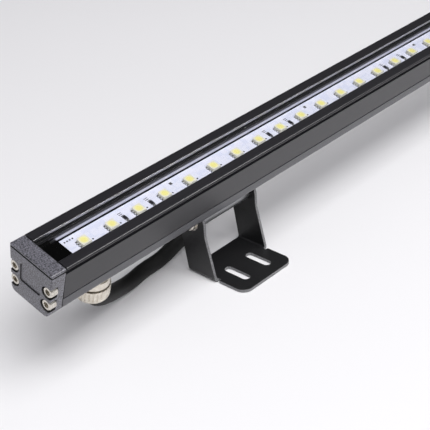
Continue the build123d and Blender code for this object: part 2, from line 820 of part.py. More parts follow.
def write_end(name, end, place):
    """One end of the light: its cap, seal, block, screws and foot."""
    write(f"{name}_end_cap", on_bar(end_cap(end)))
    write(f"{name}_cap_gasket", on_bar(cap_gasket(end)))
    write(f"{name}_cap_screws", *[on_bar(screw) for screw in cap_screws(end)])
    write(f"{name}_cap_washers", *[on_bar(washer) for washer in cap_washers(end)])
    write(f"{name}_end_block", on_bar(end_block(end)))
    write(f"{name}_hinge_block", on_bar(Pos(place, 0, 0) * hinge_block()))
    write(f"{name}_hinge_block_screws", *[on_bar(screw) for screw in hinge_block_screws(place)])
    write(f"{name}_bracket", on_foot(bracket(), place))
    write(f"{name}_pivot_screws", *[on_foot(screw, place) for screw in pivot_screws()])
    write(f"{name}_pivot_washers", *[on_foot(washer, place) for washer in pivot_washers()])


def write_lead():
    """The lead and its plug."""
    upper, lower = power_lead()
    write("power_lead_upper", upper)
    write("power_lead_lower", lower)
    write("plug_relief", plug_relief())
    write("plug_body", plug_body())
    write("plug_ring", plug_ring())
    write("plug_pins", *plug_pins())


os.makedirs("parts", exist_ok=True)
write_bar()
write_end("near", -1, bracket_places[0])
write_end("far", 1, bracket_places[1])
write_lead()
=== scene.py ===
import json
import math

import bmesh
import bpy
from mathutils import Matrix, Vector


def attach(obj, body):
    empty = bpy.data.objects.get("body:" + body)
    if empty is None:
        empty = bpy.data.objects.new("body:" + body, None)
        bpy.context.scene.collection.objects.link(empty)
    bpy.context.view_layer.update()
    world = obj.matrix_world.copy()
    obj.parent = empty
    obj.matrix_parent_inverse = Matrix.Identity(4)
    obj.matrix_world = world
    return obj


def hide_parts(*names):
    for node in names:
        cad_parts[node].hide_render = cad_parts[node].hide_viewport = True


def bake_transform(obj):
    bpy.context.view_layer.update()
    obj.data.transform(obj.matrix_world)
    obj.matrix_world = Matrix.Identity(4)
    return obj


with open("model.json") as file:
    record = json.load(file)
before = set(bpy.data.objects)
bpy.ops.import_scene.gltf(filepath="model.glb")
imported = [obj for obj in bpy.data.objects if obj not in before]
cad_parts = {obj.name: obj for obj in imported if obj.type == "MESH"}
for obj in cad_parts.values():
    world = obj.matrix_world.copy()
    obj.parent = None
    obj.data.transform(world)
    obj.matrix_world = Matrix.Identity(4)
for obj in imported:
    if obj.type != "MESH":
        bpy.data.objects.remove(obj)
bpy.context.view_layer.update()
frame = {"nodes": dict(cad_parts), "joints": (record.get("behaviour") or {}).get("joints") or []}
nodes = frame["nodes"]
mm = 0.001
print("frame loaded:", len(nodes), "nodes")

# how far the bar leans forward, where it stands over its pivot, and the board in it
bar = {
    "tilt": math.radians(15.1),
    "pivotDrop": 11.0 * mm,  # from the bar's underside down to the pivot
    "height": 26.4 * mm,
    "boardDepth": 7.8 * mm,  # from the rims' top down to the LED board
    "boardLength": 500.0 * mm,
    "ledCount": 30,
    "ledsPerUnit": 6,
    "ledSize": 5.0 * mm,
    "resistorAfter": (2, 3),  # a resistor follows these LEDs of each unit, counted from 1
}
pivot = Vector(next(j["pos_m"] for j in frame["joints"] if j["name"] == "bar_tilt"))
barPlace = (Matrix.Translation((0, pivot.y, pivot.z)) @ Matrix.Rotation(bar["tilt"], 4, "X")
            @ Matrix.Translation((0, 0, bar["pivotDrop"])))
boardFace = bar["height"] - bar["boardDepth"]


# the camera of the photograph, found from the bar's edges and the foot
def makeCamera():
    look = {
        "fromPivot": (-498.55 * mm, -345.64 * mm, 290.04 * mm),  # X from the bar's middle
        "forward": (0.6070, 0.6050, -0.5150),
        "up": (0.4170, 0.3100, 0.8550),
        "focalLength": 95.03,
        "sensorWidth": 36.0,
        "clipStart": 0.01,
        "clipEnd": 50.0,
    }
    camera = bpy.data.objects.new("camera", bpy.data.cameras.new("camera"))
    bpy.context.scene.collection.objects.link(camera)
    forward = Vector(look["forward"]).normalized()
    right = forward.cross(Vector(look["up"])).normalized()
    up = right.cross(forward)
    turn = Matrix((right, up, -forward)).transposed().to_4x4()
    place = Vector(look["fromPivot"]) + Vector((0, pivot.y, pivot.z))
    camera.matrix_world = Matrix.Translation(place) @ turn
    camera.data.lens = look["focalLength"]
    camera.data.sensor_width = look["sensorWidth"]
    camera.data.clip_start = look["clipStart"]
    camera.data.clip_end = look["clipEnd"]
    bpy.context.scene.camera = camera


makeCamera()
print("camera placed")


def toLinear(hexColour):
    parts = [int(hexColour[i:i + 2], 16) / 255 for i in (1, 3, 5)]
    linear = [c / 12.92 if c <= 0.04045 else ((c + 0.055) / 1.055) ** 2.4 for c in parts]
    return (*linear, 1.0)


def addNode(tree, kind, settings=None, inputs=None):
    node = tree.nodes.new(kind)
    for name, value in (settings or {}).items():
        setattr(node, name, value)
    for name, value in (inputs or {}).items():
        if isinstance(value, bpy.types.NodeSocket):
            tree.links.new(value, node.inputs[name])
        else:
            node.inputs[name].default_value = value
    return node


def perMetre(size):  # the scale of a pattern whose cells are so many metres wide
    return 1.0 / size


# values that several finishes share
common = {
    "toneSpan": (0.35, 0.65),  # of a noise: the one tone up to here, the other from here
    "detail": 3.0,
    "grainRoughness": 0.6,
    "edgeRays": 6,
}


# gives a colour ramp's two stops their places and tones
def setStops(ramp, places, tones):
    for stop, place, tone in zip(ramp.color_ramp.elements, places, tones):
        stop.position = place
        stop.color = toLinear(tone)


def startMaterial(name):
    material = bpy.data.materials.new(name)
    material.use_nodes = True
    tree = material.node_tree
    tree.nodes.clear()
    coords = addNode(tree, "ShaderNodeTexCoord").outputs["Object"]
    return material, tree, coords


def endMaterial(material, tree, shader):
    addNode(tree, "ShaderNodeOutputMaterial", {}, {"Surface": shader.outputs[0]})
    return material


# two tones that mix by a noise of a real size, a bump from the same noise and rounded edges
def grainedSurface(name, tones, grain, bump, stretch=(1, 1, 1), edge=0.0, **sockets):
    material, tree, coords = startMaterial(name)
    mapped = addNode(tree, "ShaderNodeMapping", {}, {"Vector": coords, "Scale": stretch})
    noise = addNode(tree, "ShaderNodeTexNoise", {}, {
        "Vector": mapped.outputs["Vector"], "Scale": perMetre(grain),
        "Detail": common["detail"], "Roughness": common["grainRoughness"]})
    ramp = addNode(tree, "ShaderNodeValToRGB", {}, {"Fac": noise.outputs["Fac"]})
    setStops(ramp, common["toneSpan"], tones)
    shape = {"Height": noise.outputs["Fac"], "Strength": 1.0, "Distance": bump}
    if edge:
        rounded = addNode(tree, "ShaderNodeBevel", {"samples": common["edgeRays"]}, {
            "Radius": edge})
        shape["Normal"] = rounded.outputs["Normal"]
    bumped = addNode(tree, "ShaderNodeBump", {}, shape)
    shader = addNode(tree, "ShaderNodeBsdfPrincipled", {}, {
        "Base Color": ramp.outputs["Color"], "Normal": bumped.outputs["Normal"], **sockets})
    return endMaterial(material, tree, shader)


# places measured along the bar, across it and up from its underside
def inBarFrame(tree, coords):
    centre = pivot + Matrix.Rotation(bar["tilt"], 3, "X") @ Vector((0, 0, bar["pivotDrop"]))
    moved = addNode(tree, "ShaderNodeVectorMath", {"operation": "SUBTRACT"}, {
        0: coords, 1: (0, centre.y, centre.z)})
    level = addNode(tree, "ShaderNodeVectorRotate", {"rotation_type": "X_AXIS"}, {
        "Vector": moved.outputs["Vector"], "Angle": -bar["tilt"]})
    return level.outputs["Vector"]


def anodisedGraphiteAluminium():
    # extruded, blasted and anodised: nearly black seen straight, grey where it mirrors the floor,
    # with the faintest drawing lines along its length. A painted reflection, as a band of bright
    # metal on the LED channel's walls that fades upward, and painted highlight lines on the
    # window's edges
    finish = {
        "tones": ("#1a191d", "#201f23"),
        # painted reflection and highlight: this bright metal stands in for light mirrored on the
        # channel's walls and the window's edges
        "paintedShineTone": "#dcdbdf",
        "paintedShineRoughness": 0.32,
        "lineWidth": 0.45 * mm,
        "lineStretch": 60.0,  # the lines are so many times longer than wide
        "lineDetail": 2.0,
        "grain": 0.25 * mm,
        "bump": 0.004 * mm,
        "roughness": 0.33,
        "edge": 0.4 * mm,
        # painted reflection: a band on the channel's walls whose strength fades upward
        "paintedShineFrom": 19.2 * mm,  # above the bar's underside
        "paintedShineFull": 20.5 * mm,  # the shine is strongest up to here
        "paintedShineTo": 21.3 * mm,  # and has faded out here
        "paintedShineHalfWidth": 8.0 * mm,
        "edgeHighlightFrom": 24.7 * mm,  # painted highlight on the window's edges, above the cover
        "edgeHighlightHalfWidth": 8.2 * mm,
        "edgeHighlightShare": 0.5,  # the painted highlight takes this share of the bright metal
        "paleTones": ("#3f3f43", "#525256"),  # of the strip below the side line
        "paleTo": 7.0 * mm,
        "grooveShadeTo": 7.8 * mm,  # painted shade: the side line between the two is black down to its ground
        "grooveShadeTone": "#040404",
    }
    material, tree, coords = startMaterial("anodisedGraphiteAluminium")
    along = addNode(tree, "ShaderNodeMapping", {}, {
        "Vector": coords, "Scale": (1 / finish["lineStretch"], 1, 1)})
    lines = addNode(tree, "ShaderNodeTexNoise", {}, {
        "Vector": along.outputs["Vector"], "Scale": perMetre(finish["lineWidth"]),
        "Detail": finish["lineDetail"]})
    grain = addNode(tree, "ShaderNodeTexNoise", {}, {
        "Vector": coords, "Scale": perMetre(finish["grain"]), "Detail": common["detail"]})
    both = addNode(tree, "ShaderNodeMath", {"operation": "ADD"}, {
        0: lines.outputs["Fac"], 1: grain.outputs["Fac"]})
    ramp = addNode(tree, "ShaderNodeValToRGB", {}, {"Fac": lines.outputs["Fac"]})
    setStops(ramp, common["toneSpan"], finish["tones"])
    rounded = addNode(tree, "ShaderNodeBevel", {"samples": common["edgeRays"]}, {
        "Radius": finish["edge"]})
    bumped = addNode(tree, "ShaderNodeBump", {}, {
        "Height": both.outputs[0], "Strength": 1.0, "Distance": finish["bump"],
        "Normal": rounded.outputs["Normal"]})
    pale = addNode(tree, "ShaderNodeValToRGB", {}, {"Fac": grain.outputs["Fac"]})
    setStops(pale, common["toneSpan"], finish["paleTones"])
    split = addNode(tree, "ShaderNodeSeparateXYZ", {}, {"Vector": inBarFrame(tree, coords)})
    below = addNode(tree, "ShaderNodeMath", {"operation": "LESS_THAN"}, {
        0: split.outputs["Z"], 1: finish["paleTo"]})
    # painted shade: the side groove is painted black
    grooveShadeMask = addNode(tree, "ShaderNodeMath", {"operation": "LESS_THAN"}, {
        0: split.outputs["Z"], 1: finish["grooveShadeTo"]})
    grooveShaded = addNode(tree, "ShaderNodeMix", {"data_type": "RGBA"}, {
        "Factor": grooveShadeMask.outputs[0], 6: ramp.outputs["Color"], 7: toLinear(finish["grooveShadeTone"])})
    tone = addNode(tree, "ShaderNodeMix", {"data_type": "RGBA"}, {
        "Factor": below.outputs[0], 6: grooveShaded.outputs[2], 7: pale.outputs["Color"]})
    coat = addNode(tree, "ShaderNodeBsdfPrincipled", {}, {
        "Base Color": tone.outputs[2], "Normal": bumped.outputs["Normal"],
        "Roughness": finish["roughness"], "IOR": 1.5})
    paintedShine = addNode(tree, "ShaderNodeBsdfPrincipled", {}, {
        "Base Color": toLinear(finish["paintedShineTone"]), "Normal": bumped.outputs["Normal"],
        "Metallic": 1.0, "Roughness": finish["paintedShineRoughness"]})

    # painted reflection on the channel's walls, and painted highlight on the window's edges
    width = addNode(tree, "ShaderNodeMath", {"operation": "ABSOLUTE"}, {0: split.outputs["Y"]})
    narrow = addNode(tree, "ShaderNodeMath", {"operation": "LESS_THAN"}, {
        0: width.outputs[0], 1: finish["paintedShineHalfWidth"]})
    high = addNode(tree, "ShaderNodeMath", {"operation": "GREATER_THAN"}, {
        0: split.outputs["Z"], 1: finish["paintedShineFrom"]})
    fading = addNode(tree, "ShaderNodeMapRange", {}, {
        "Value": split.outputs["Z"], "From Min": finish["paintedShineFull"], "From Max": finish["paintedShineTo"],
        "To Min": 1.0, "To Max": 0.0})
    inside = addNode(tree, "ShaderNodeMath", {"operation": "MULTIPLY"}, {
        0: high.outputs[0], 1: fading.outputs[0]})
    channelShine = addNode(tree, "ShaderNodeMath", {"operation": "MULTIPLY"}, {
        0: inside.outputs[0], 1: narrow.outputs[0]})
    close = addNode(tree, "ShaderNodeMath", {"operation": "LESS_THAN"}, {
        0: width.outputs[0], 1: finish["edgeHighlightHalfWidth"]})
    above = addNode(tree, "ShaderNodeMath", {"operation": "GREATER_THAN"}, {
        0: split.outputs["Z"], 1: finish["edgeHighlightFrom"]})
    edgeHighlight = addNode(tree, "ShaderNodeMath", {"operation": "MULTIPLY"}, {
        0: close.outputs[0], 1: above.outputs[0]})
    paintedShineMask = addNode(tree, "ShaderNodeMath", {"operation": "MULTIPLY_ADD"}, {
        0: edgeHighlight.outputs[0], 1: finish["edgeHighlightShare"], 2: channelShine.outputs[0]})
    mixed = addNode(tree, "ShaderNodeMixShader", {}, {
        0: paintedShineMask.outputs[0], 1: coat.outputs[0], 2: paintedShine.outputs[0]})
    return endMaterial(material, tree, mixed)


def castGraphiteAluminium():
    # pressure-cast and sprayed with a fine textured coat: lighter than the bar, with dark grains,
    # and painted shade that makes it nearly black in the screws' notches and other hollows
    finish = {
        "tones": ("#0f0e14", "#777680"),
        # painted shade: the near black tone of enclosed places
        "notchShadeTone": "#050506",
        "notchReach": 3.0 * mm,  # how near a facing wall has to be
        "notchEdge": (0.58, 0.92),  # open share at which the tone is dark, and at which it is full
        "notchRays": 8,
        "grain": 0.6 * mm,  # coarser than the real one, so that it shows at this distance
        "grainSpan": (0.38, 0.62),
        "bump": 0.04 * mm,
        "edge": 0.7 * mm,
        "roughness": 0.45,
        "coat": 0.5,
        "coatRoughness": 0.28,
    }
    material, tree, coords = startMaterial("castGraphiteAluminium")
    noise = addNode(tree, "ShaderNodeTexNoise", {}, {
        "Vector": coords, "Scale": perMetre(finish["grain"]),
        "Detail": common["detail"], "Roughness": common["grainRoughness"]})
    ramp = addNode(tree, "ShaderNodeValToRGB", {}, {"Fac": noise.outputs["Fac"]})
    setStops(ramp, finish["grainSpan"], finish["tones"])
    # painted shade: near black where nearby walls close a place in, in notches, gaps and other
    # hollows
    openShare = addNode(tree, "ShaderNodeAmbientOcclusion", {"samples": finish["notchRays"]}, {
        "Distance": finish["notchReach"]})
    unshadedShare = addNode(tree, "ShaderNodeMapRange", {"interpolation_type": "SMOOTHSTEP"}, {
        "Value": openShare.outputs["AO"], "From Min": finish["notchEdge"][0],
        "From Max": finish["notchEdge"][1]})
    tone = addNode(tree, "ShaderNodeMix", {"data_type": "RGBA"}, {
        "Factor": unshadedShare.outputs[0], 6: toLinear(finish["notchShadeTone"]), 7: ramp.outputs["Color"]})
    rounded = addNode(tree, "ShaderNodeBevel", {"samples": common["edgeRays"]}, {
        "Radius": finish["edge"]})
    bumped = addNode(tree, "ShaderNodeBump", {}, {
        "Height": noise.outputs["Fac"], "Strength": 1.0, "Distance": finish["bump"],
        "Normal": rounded.outputs["Normal"]})
    shader = addNode(tree, "ShaderNodeBsdfPrincipled", {}, {
        "Base Color": tone.outputs[2], "Normal": bumped.outputs["Normal"],
        "Roughness": finish["roughness"], "IOR": 1.5, "Coat Weight": finish["coat"],
        "Coat Roughness": finish["coatRoughness"]})
    return endMaterial(material, tree, shader)


def blackCoatedSteel():
    # bent sheet with a smooth black powder coat: soft black, with painted highlight in grey on the
    # faces that look to the front and on the foot's low cut edges
    finish = {
        "tones": ("#131314", "#1b1b1d"),
        # painted highlight: the grey of the front-facing faces and low cut edges
        "edgeHighlightTones": ("#5c5c5e", "#858587"),
        "grain": 0.6 * mm,
        "bump": 0.006 * mm,
        "roughness": 0.42,
        "edge": 0.25 * mm,
        "sheet": 1.45 * mm,  # up to here the foot's upright faces are cut edges
        "facing": 0.5,  # a face looks forward, or up, from this share of its normal on
    }
    material, tree, coords = startMaterial("blackCoatedSteel")
    noise = addNode(tree, "ShaderNodeTexNoise", {}, {
        "Vector": coords, "Scale": perMetre(finish["grain"]), "Detail": common["detail"]})
    colours = []
    for tones in (finish["tones"], finish["edgeHighlightTones"]):
        ramp = addNode(tree, "ShaderNodeValToRGB", {}, {"Fac": noise.outputs["Fac"]})
        setStops(ramp, common["toneSpan"], tones)
        colours.append(ramp.outputs["Color"])
    facing = addNode(tree, "ShaderNodeSeparateXYZ", {}, {
        "Vector": addNode(tree, "ShaderNodeTexCoord").outputs["Normal"]})
    place = addNode(tree, "ShaderNodeSeparateXYZ", {}, {"Vector": coords})
    # painted highlight: grey where a face looks to the front, or is a low upright cut edge of the
    # foot
    frontFacingHighlight = addNode(tree, "ShaderNodeMath", {"operation": "LESS_THAN"}, {
        0: facing.outputs["Y"], 1: -finish["facing"]})
    flatness = addNode(tree, "ShaderNodeMath", {"operation": "ABSOLUTE"}, {0: facing.outputs["Z"]})
    upright = addNode(tree, "ShaderNodeMath", {"operation": "LESS_THAN"}, {
        0: flatness.outputs[0], 1: finish["facing"]})
    low = addNode(tree, "ShaderNodeMath", {"operation": "LESS_THAN"}, {
        0: place.outputs["Z"], 1: finish["sheet"]})
    lowEdge = addNode(tree, "ShaderNodeMath", {"operation": "MULTIPLY"}, {
        0: upright.outputs[0], 1: low.outputs[0]})
    # the painted highlight's mask
    cut = addNode(tree, "ShaderNodeMath", {"operation": "MAXIMUM"}, {
        0: frontFacingHighlight.outputs[0], 1: lowEdge.outputs[0]})
    tone = addNode(tree, "ShaderNodeMix", {"data_type": "RGBA"}, {
        "Factor": cut.outputs[0], 6: colours[0], 7: colours[1]})
    rounded = addNode(tree, "ShaderNodeBevel", {"samples": common["edgeRays"]}, {
        "Radius": finish["edge"]})
    bumped = addNode(tree, "ShaderNodeBump", {}, {
        "Height": noise.outputs["Fac"], "Strength": 1.0, "Distance": finish["bump"],
        "Normal": rounded.outputs["Normal"]})
    shader = addNode(tree, "ShaderNodeBsdfPrincipled", {}, {
        "Base Color": tone.outputs[2], "Normal": bumped.outputs["Normal"],
        "Roughness": finish["roughness"], "IOR": 1.5})
    return endMaterial(material, tree, shader)


def clearToughenedGlass():
    # drawn flat glass, clear through, with a weak mirror image and a trace of waviness
    finish = {
        "waves": 60.0 * mm,
        "bump": 0.004 * mm,
        "tint": "#fafafb",
        "roughness": 0.03,
        "straightShare": 0.012,  # of the light that it mirrors when seen straight on
        "steepness": 5.0,  # how late that share grows as the view gets flatter
    }
    material, tree, coords = startMaterial("clearToughenedGlass")
    waves = addNode(tree, "ShaderNodeTexNoise", {}, {
        "Vector": coords, "Scale": perMetre(finish["waves"]), "Detail": 1.0})
    bumped = addNode(tree, "ShaderNodeBump", {}, {
        "Height": waves.outputs["Fac"], "Strength": 1.0, "Distance": finish["bump"]})
    through = addNode(tree, "ShaderNodeBsdfTransparent", {}, {"Color": toLinear(finish["tint"])})
    mirror = addNode(tree, "ShaderNodeBsdfGlossy", {}, {
        "Color": (1, 1, 1, 1), "Roughness": finish["roughness"],
        "Normal": bumped.outputs["Normal"]})
    facing = addNode(tree, "ShaderNodeLayerWeight", {}, {
        "Blend": 0.5, "Normal": bumped.outputs["Normal"]})
    steep = addNode(tree, "ShaderNodeMath", {"operation": "POWER"}, {
        0: facing.outputs["Facing"], 1: finish["steepness"]})
    share = addNode(tree, "ShaderNodeMath", {"operation": "MULTIPLY_ADD"}, {
        0: steep.outputs[0], 1: 1 - finish["straightShare"], 2: finish["straightShare"]})
    shader = addNode(tree, "ShaderNodeMixShader", {}, {
        0: share.outputs[0], 1: through.outputs[0], 2: mirror.outputs[0]})
    return endMaterial(material, tree, shader)


def whiteSolderMask():
    # printed white lacquer over copper: cool white, with tracks that show as faint tone steps
    finish = {
        "tones": ("#eceefa", "#e2e6f6"),  # of the tracks, and of the lines between them
        "trackWidth": 3.4 * mm,
        "trackEdge": (0.42, 0.5),  # where the tone changes, in track widths from its middle
        "unevenness": 0.7,
        "roughness": 0.35,
        "bumpStrength": 0.5,
        "bump": 0.02 * mm,
    }
    material, tree, coords = startMaterial("whiteSolderMask")
    tracks = addNode(tree, "ShaderNodeTexVoronoi", {"distance": "CHEBYCHEV", "feature": "F1"}, {
        "Vector": coords, "Scale": perMetre(finish["trackWidth"]),
        "Randomness": finish["unevenness"]})
    ramp = addNode(tree, "ShaderNodeValToRGB", {}, {"Fac": tracks.outputs["Distance"]})
    setStops(ramp, finish["trackEdge"], finish["tones"])
    bumped = addNode(tree, "ShaderNodeBump", {}, {
        "Height": ramp.outputs["Color"], "Strength": finish["bumpStrength"],
        "Distance": finish["bump"]})
    shader = addNode(tree, "ShaderNodeBsdfPrincipled", {}, {
        "Base Color": ramp.outputs["Color"], "Normal": bumped.outputs["Normal"],
        "Roughness": finish["roughness"], "IOR": 1.5})
    return endMaterial(material, tree, shader)


def mouldedWhiteResin():
    # the LED body: opaque warm white plastic with a soft gloss
    return grainedSurface("mouldedWhiteResin", ("#e9e7d2", "#f1efdc"),
                          grain=1.2 * mm, bump=0.004 * mm, edge=0.15 * mm, Roughness=0.35, IOR=1.53)


def phosphorGel():
    # yellow phosphor powder in clear silicone, unlit: pale yellow, paler towards the cup's wall
    finish = {
        "tones": ("#f9f198", "#f8f4cc"),  # in the middle, and at the wall
        "centreRadius": 1.0 * mm,
        "wallRadius": 2.4 * mm,
        "grain": 0.4 * mm,
        "bump": 0.01 * mm,
        "roughness": 0.22,
    }
    material, tree, coords = startMaterial("phosphorGel")
    level = inBarFrame(tree, coords)
    split = addNode(tree, "ShaderNodeSeparateXYZ", {}, {"Vector": level})
    pitch = bar["boardLength"] / bar["ledCount"]
    shifted = addNode(tree, "ShaderNodeMath", {"operation": "ADD"}, {
        0: split.outputs["X"], 1: pitch / 2})
    along = addNode(tree, "ShaderNodeMath", {"operation": "WRAP"}, {
        0: shifted.outputs[0], 1: pitch / 2, 2: -pitch / 2})
    flat = addNode(tree, "ShaderNodeCombineXYZ", {}, {
        "X": along.outputs[0], "Y": split.outputs["Y"]})
    radius = addNode(tree, "ShaderNodeVectorMath", {"operation": "LENGTH"}, {0: flat.outputs[0]})
    outwards = addNode(tree, "ShaderNodeMapRange", {"interpolation_type": "SMOOTHSTEP"}, {
        "Value": radius.outputs["Value"], "From Min": finish["centreRadius"],
        "From Max": finish["wallRadius"]})
    ramp = addNode(tree, "ShaderNodeValToRGB", {}, {"Fac": outwards.outputs[0]})
    setStops(ramp, (0, 1), finish["tones"])
    grain = addNode(tree, "ShaderNodeTexNoise", {}, {
        "Vector": coords, "Scale": perMetre(finish["grain"])})
    bumped = addNode(tree, "ShaderNodeBump", {}, {
        "Height": grain.outputs["Fac"], "Strength": 1.0, "Distance": finish["bump"]})
    shader = addNode(tree, "ShaderNodeBsdfPrincipled", {}, {
        "Base Color": ramp.outputs["Color"], "Normal": bumped.outputs["Normal"],
        "Roughness": finish["roughness"], "IOR": 1.41})
    return endMaterial(material, tree, shader)


def thickFilmCeramic():
    # fired black overglaze: dark, a little glossy
    return grainedSurface("thickFilmCeramic", ("#1c1c20", "#2a2a2f"),
                          grain=0.4 * mm, bump=0.004 * mm, Roughness=0.35, IOR=1.5)


def tinnedCopper():
    # tin solder over copper: bright grey, uneven where it flowed
    return grainedSurface("tinnedCopper", ("#a9a9aa", "#d4d4d2"),
                          grain=0.9 * mm, bump=0.02 * mm, Roughness=0.3, Metallic=1.0)


def blackPrintAndShadow():
    # screen-printed ink on the board, and painted shadow strokes by the LEDs' legs: flat black with
    # thin spots
    return grainedSurface("blackPrintAndShadow", ("#17171b", "#34343c"),
                          grain=0.3 * mm, bump=0.002 * mm, Roughness=0.6)


def blackFoamedSilicone():
    # cut silicone sponge: swallows nearly all light
    return grainedSurface("blackFoamedSilicone", ("#010101", "#040404"),
                          grain=0.5 * mm, bump=0.02 * mm, Roughness=0.9, IOR=1.3,
                          **{"Specular IOR Level": 0.1})


def blackMouldedRubber():
    # moulded seal rubber: dark with a dull bloom
    return grainedSurface("blackMouldedRubber", ("#161618", "#1f1f21"),
                          grain=0.8 * mm, bump=0.006 * mm, Roughness=0.6, IOR=1.5)


def greyThermalSilicone():
    # filled silicone sheet: chalky grey
    return grainedSurface("greyThermalSilicone", ("#878c92", "#969ba1"),
                          grain=1.0 * mm, bump=0.01 * mm, Roughness=0.8, IOR=1.45)


def turnedStainless():
    # machined screw steel: warm silver with fine turning marks
    return grainedSurface("turnedStainless", ("#b9b4ab", "#e2ddd4"),
                          grain=0.5 * mm, bump=0.01 * mm, edge=0.12 * mm, Roughness=0.26,
                          Metallic=1.0)


def nickelPlatedBrass():
    # barrel-plated nickel over brass: creamy silver, smooth with a satin haze
    return grainedSurface("nickelPlatedBrass", ("#cfc8bb", "#e6e0d4"),
                          grain=2.5 * mm, bump=0.006 * mm, edge=0.25 * mm, Roughness=0.34,
                          Metallic=1.0)


def satinAnodisedAluminium():
    # milled and clear anodised: mid grey metal, with lines along the bar
    return grainedSurface("satinAnodisedAluminium", ("#8a8b8d", "#9c9d9f"),
                          grain=0.3 * mm, bump=0.006 * mm, stretch=(0.05, 1, 1), edge=0.2 * mm,
                          Roughness=0.4, Metallic=1.0)


def brownWireEnamel():
    # extruded wire insulation: saturated red-brown
    return grainedSurface("brownWireEnamel", ("#6b2f1c", "#7a3823"),
                          grain=1.0 * mm, bump=0.004 * mm, Roughness=0.4, IOR=1.5)


def blackExtrudedPvc():
    # extruded cable jacket: deep matte black, with faint drawing ripples
    return grainedSurface("blackExtrudedPvc", ("#050505", "#0b0b0b"),
                          grain=1.6 * mm, bump=0.02 * mm, Roughness=0.6, IOR=1.45)


def blackMouldedNylon():
    # moulded plug plastic: black, spark-eroded grain
    return grainedSurface("blackMouldedNylon", ("#18181a", "#222224"),
                          grain=0.4 * mm, bump=0.02 * mm, edge=0.25 * mm, Roughness=0.5, IOR=1.5)


def orangeMouldedSilicone():
    # moulded seal ring: opaque orange-red
    return grainedSurface("orangeMouldedSilicone", ("#b8401f", "#c84c27"),
                          grain=0.8 * mm, bump=0.004 * mm, Roughness=0.45, IOR=1.41)


def turnedBrass():
    # turned contact pins: yellow metal
    return grainedSurface("turnedBrass", ("#c9a354", "#dab565"),
                          grain=0.4 * mm, bump=0.004 * mm, Roughness=0.28, Metallic=1.0)


def dressNodes():
    ends = ("near", "far")
    finishes = [
        (anodisedGraphiteAluminium(), ["housing_extrusion"]),
        (castGraphiteAluminium(), [f"{end}_end_cap" for end in ends]),
        (blackCoatedSteel(), [f"{end}_bracket" for end in ends]),
        (clearToughenedGlass(), ["lens_cover"]),
        (whiteSolderMask(), ["led_board"]),
        (mouldedWhiteResin(), ["led_packages"]),
        (phosphorGel(), ["led_phosphors"]),
        (thickFilmCeramic(), ["board_resistors"]),
        (tinnedCopper(), ["board_link_pads"]),
        (blackFoamedSilicone(), [f"{end}_end_block" for end in ends]),
        (blackMouldedRubber(), ["lens_edge_strips", "gland_gasket", "gland_seal"]
         + [f"{end}_cap_gasket" for end in ends]),
        (greyThermalSilicone(), ["thermal_pad"]),
        (turnedStainless(), [f"{end}_{kind}" for end in ends for kind in (
            "cap_screws", "cap_washers", "hinge_block_screws", "pivot_screws", "pivot_washers")]),
        (nickelPlatedBrass(), ["gland_body", "gland_nut", "gland_lock_nut"]),
        (satinAnodisedAluminium(), [f"{end}_hinge_block" for end in ends]),
        (brownWireEnamel(), ["lead_cores"]),
        (blackMouldedNylon(), ["plug_relief", "plug_body"]),
        (orangeMouldedSilicone(), ["plug_ring"]),
        (turnedBrass(), ["plug_pins"]),
    ]
    for material, names in finishes:
        for name in names:
            mesh = nodes[name].data
            mesh.materials.clear()
            mesh.materials.append(material)


def linkMesh(name, build, material, body=None):
    mesh = bpy.data.meshes.new(name)
    build.to_mesh(mesh)
    build.free()
    mesh.materials.append(material)
    piece = bpy.data.objects.new(name, mesh)
    bpy.context.scene.collection.objects.link(piece)
    if body:
        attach(piece, body)
    return piece


# the lead: its route repeats the construction's points
leadShape = {
    "diameter": 8.0 * mm,
    "sides": 28,
    "step": 1.2 * mm,  # between the rings of its skin
    "resolution": 24,  # of the smooth line, between two points of the route
    "route": [  # in millimetres, from the gland to the plug
        (-234.35, 12.07, 28.01), (-234.35, 13.11, 24.15), (-232.3, 14.0, 20.2),
        (-227.4, 15.4, 16.9), (-219.9, 18.7, 13.0), (-210.4, 23.6, 8.4), (-199.4, 27.1, 5.0),
        (-186.5, 30.7, 4.0), (-173.5, 30.7, 4.0), (-160.0, 34.6, 4.0), (-145.0, 37.7, 4.0),
        (-129.0, 44.4, 4.0), (-110.0, 49.9, 4.0), (-84.0, 53.0, 4.0), (-46.0, 51.4, 4.0),
        (0.0, 54.6, 4.0), (46.0, 52.0, 4.0), (84.0, 53.8, 4.0), (112.0, 52.4, 4.0),
        (132.0, 52.8, 4.4), (150.0, 52.4, 6.6), (164.0, 52.4, 6.6),
    ],
}


def splinePoints(route):
    curve = bpy.data.curves.new("leadRoute", "CURVE")
    curve.dimensions = "3D"
    curve.resolution_u = leadShape["resolution"]
    spline = curve.splines.new("NURBS")
    spline.points.add(len(route) - 1)
    for point, place in zip(spline.points, route):
        point.co = (*[c * mm for c in place], 1.0)
    spline.order_u = 3
    spline.use_endpoint_u = True
    holder = bpy.data.objects.new("leadRoute", curve)
    mesh = bpy.data.meshes.new_from_object(holder)
    points = [vertex.co.copy() for vertex in mesh.vertices]
    bpy.data.objects.remove(holder)
    bpy.data.curves.remove(curve)
    bpy.data.meshes.remove(mesh)
    return points


# points at equal steps along a line, and the line's length
def evenPoints(points, step):
    lengths = [0.0]
    for before, after in zip(points, points[1:]):
        lengths.append(lengths[-1] + (after - before).length)
    count = round(lengths[-1] / step)
    even = []
    index = 0
    for k in range(count + 1):
        wanted = lengths[-1] * k / count
        while index < len(points) - 2 and lengths[index + 1] < wanted:
            index += 1
        share = (wanted - lengths[index]) / (lengths[index + 1] - lengths[index])
        even.append(points[index].lerp(points[index + 1], share))
    return even, lengths[-1]


# the faces between two rings that have the same number of corners
def joinRings(build, before, after):
    count = len(before)
    for k in range(count):
        build.faces.new((before[k], before[(k + 1) % count], after[(k + 1) % count], after[k]))


